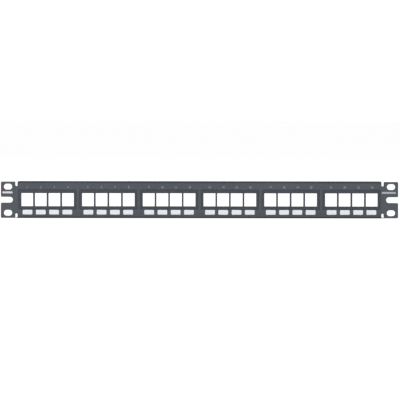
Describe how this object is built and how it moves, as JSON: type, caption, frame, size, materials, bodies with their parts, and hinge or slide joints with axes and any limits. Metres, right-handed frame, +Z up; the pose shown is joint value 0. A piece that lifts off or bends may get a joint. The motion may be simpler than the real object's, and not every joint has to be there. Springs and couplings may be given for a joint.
{
  "type": "patch panel",
  "caption": "Rack-mount patch panel: folded steel front with slotted ears, rear-fitted snap-in plastic faceplates with square jack openings, and write-on labels.",
  "frame": {"origin": "middle of the plane where the rear faces of the rack ears meet the rack's rails, at the centre of the rack slots", "axes": "+X to the right as seen from the front, -Y out of the front towards the user, +Z up"},
  "size_m": [0.4826, 0.0275, 0.0442],
  "materials": {
    "powder_coat": "satin",
    "faceplate_plastic": "matte",
    "label_white": "matte",
    "label_grey": "matte"
  },
  "bodies": {
    "panel": {"front_panel": "powder_coat", "port_label_01": "label_white", "port_label_02": "label_white", "port_label_03": "label_white", "port_label_04": "label_white", "port_label_05": "label_white", "port_label_06": "label_white", "port_label_07": "label_white", "port_label_08": "label_white", "port_label_09": "label_white", "port_label_10": "label_white", "port_label_11": "label_white", "port_label_12": "label_white", "port_label_13": "label_white", "port_label_14": "label_white", "port_label_15": "label_white", "port_label_16": "label_white", "port_label_17": "label_white", "port_label_18": "label_white", "port_label_19": "label_white", "port_label_20": "label_white", "port_label_21": "label_white", "port_label_22": "label_white", "port_label_23": "label_white", "port_label_24": "label_white", "panel_id_label_left": "label_grey", "panel_id_label_right": "label_grey"},
    "faceplate_1": {"faceplate_1": "faceplate_plastic"},
    "faceplate_2": {"faceplate_2": "faceplate_plastic"},
    "faceplate_3": {"faceplate_3": "faceplate_plastic"},
    "faceplate_4": {"faceplate_4": "faceplate_plastic"},
    "faceplate_5": {"faceplate_5": "faceplate_plastic"},
    "faceplate_6": {"faceplate_6": "faceplate_plastic"}
  },
  "joints": [
    {"name": "faceplate_1_slide", "type": "slide", "parent": "panel", "child": "faceplate_1", "axis": [0, 1, 0], "range_m": [0, 0.035]},
    {"name": "faceplate_2_slide", "type": "slide", "parent": "panel", "child": "faceplate_2", "axis": [0, 1, 0], "range_m": [0, 0.035]},
    {"name": "faceplate_3_slide", "type": "slide", "parent": "panel", "child": "faceplate_3", "axis": [0, 1, 0], "range_m": [0, 0.035]},
    {"name": "faceplate_4_slide", "type": "slide", "parent": "panel", "child": "faceplate_4", "axis": [0, 1, 0], "range_m": [0, 0.035]},
    {"name": "faceplate_5_slide", "type": "slide", "parent": "panel", "child": "faceplate_5", "axis": [0, 1, 0], "range_m": [0, 0.035]},
    {"name": "faceplate_6_slide", "type": "slide", "parent": "panel", "child": "faceplate_6", "axis": [0, 1, 0], "range_m": [0, 0.035]}
  ]
}
